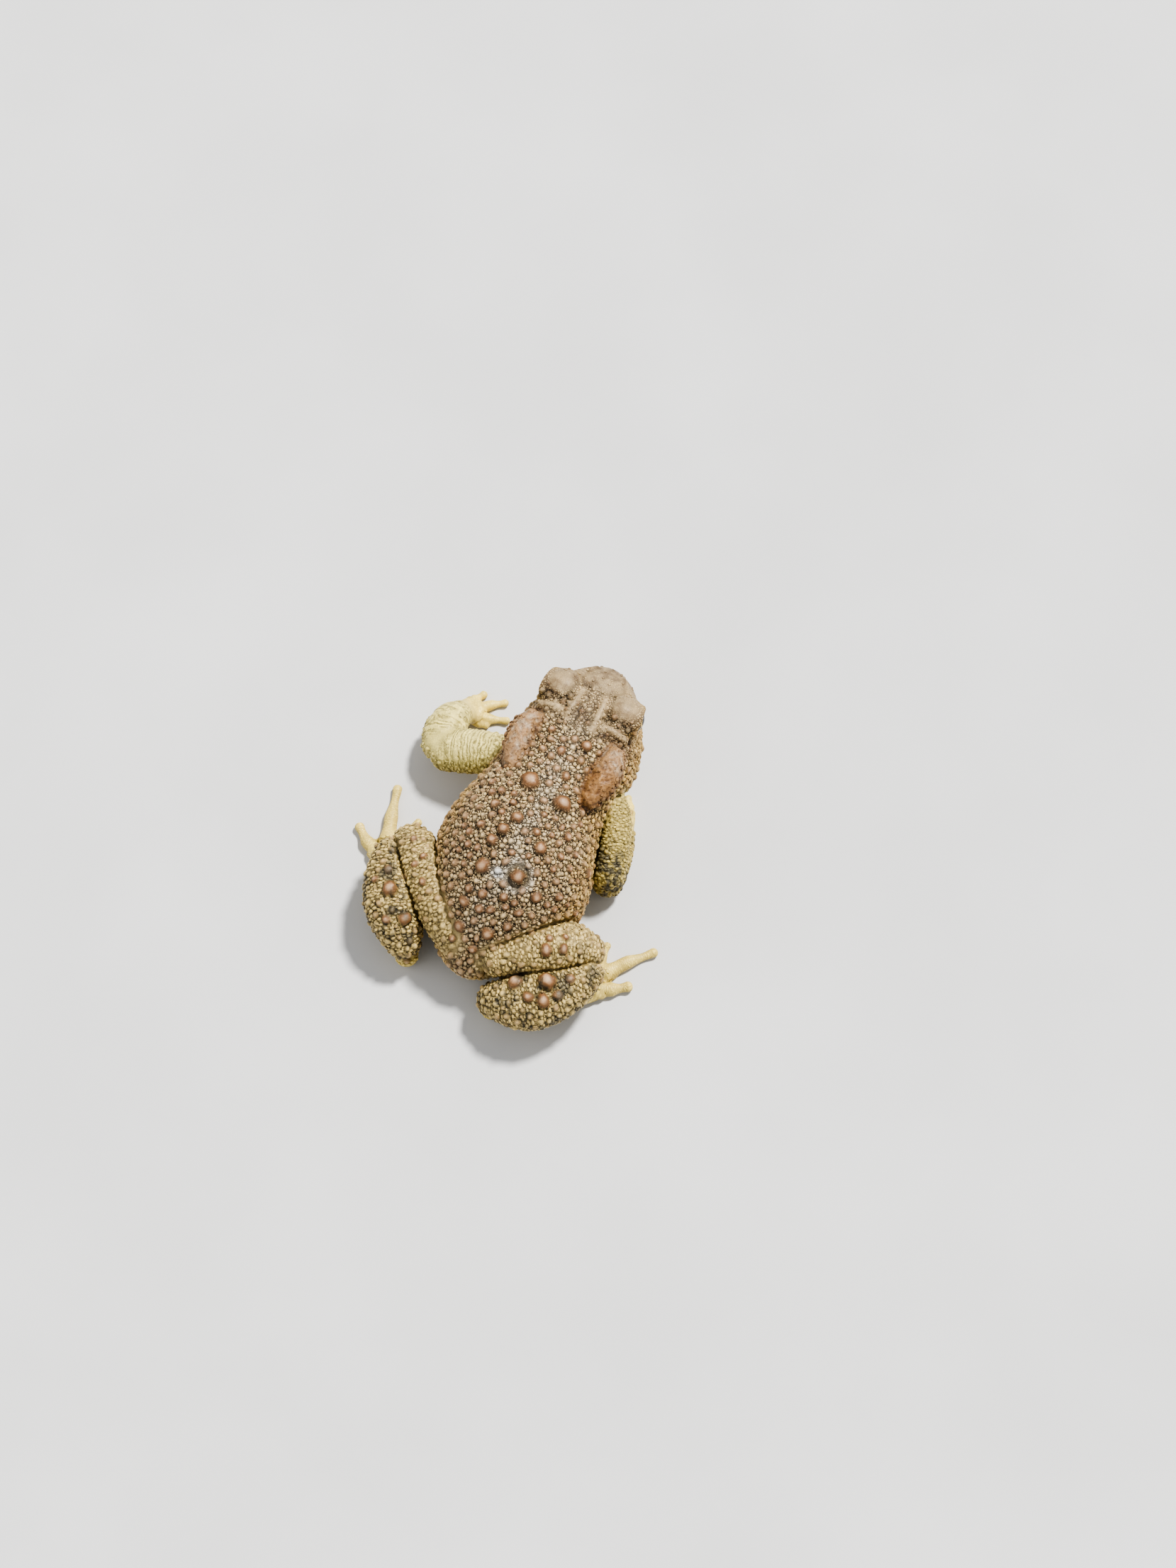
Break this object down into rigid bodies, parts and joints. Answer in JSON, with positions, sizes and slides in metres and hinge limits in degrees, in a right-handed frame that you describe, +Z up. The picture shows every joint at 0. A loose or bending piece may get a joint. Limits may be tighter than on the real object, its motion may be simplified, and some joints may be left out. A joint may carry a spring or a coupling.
{
  "type": "american toad",
  "caption": "Life-size still model of a large adult American toad, sitting low with its limbs folded and warty brown skin.",
  "frame": {"origin": "centre of the bounding box at floor level", "axes": "-Y towards the snout, +X towards the toad's left side, +Z up from the floor it rests on"},
  "size_m": [0.0854, 0.0952, 0.0347],
  "materials": {
    "back_skin": "warty, dull, with brown and cream warts",
    "limb_skin": "granular, olive with darker blotches",
    "digit_skin": "smooth, moist, pale yellow",
    "jaw_skin": "finely granular, cream",
    "eye": "wet, gold iris round a dark level pupil"
  },
  "bodies": {
    "root": {"eye_left": "eye", "eye_right": "eye", "finger_1_left": "digit_skin", "finger_1_right": "digit_skin", "finger_2_left": "digit_skin", "finger_2_right": "digit_skin", "finger_3_left": "digit_skin", "finger_3_right": "digit_skin", "finger_4_left": "digit_skin", "finger_4_right": "digit_skin", "foot_left": "limb_skin", "foot_right": "limb_skin", "forearm_left": "limb_skin", "forearm_right": "limb_skin", "hand_left": "digit_skin", "hand_right": "digit_skin", "head": "back_skin", "lower_jaw": "jaw_skin", "shank_left": "limb_skin", "shank_right": "limb_skin", "thigh_left": "limb_skin", "thigh_right": "limb_skin", "toe_1_left": "digit_skin", "toe_1_right": "digit_skin", "toe_2_left": "digit_skin", "toe_2_right": "digit_skin", "toe_3_left": "digit_skin", "toe_3_right": "digit_skin", "toe_4_left": "digit_skin", "toe_4_right": "digit_skin", "toe_5_left": "digit_skin", "toe_5_right": "digit_skin", "torso": "back_skin", "upper_arm_left": "limb_skin", "upper_arm_right": "limb_skin"}
  },
  "joints": []
}
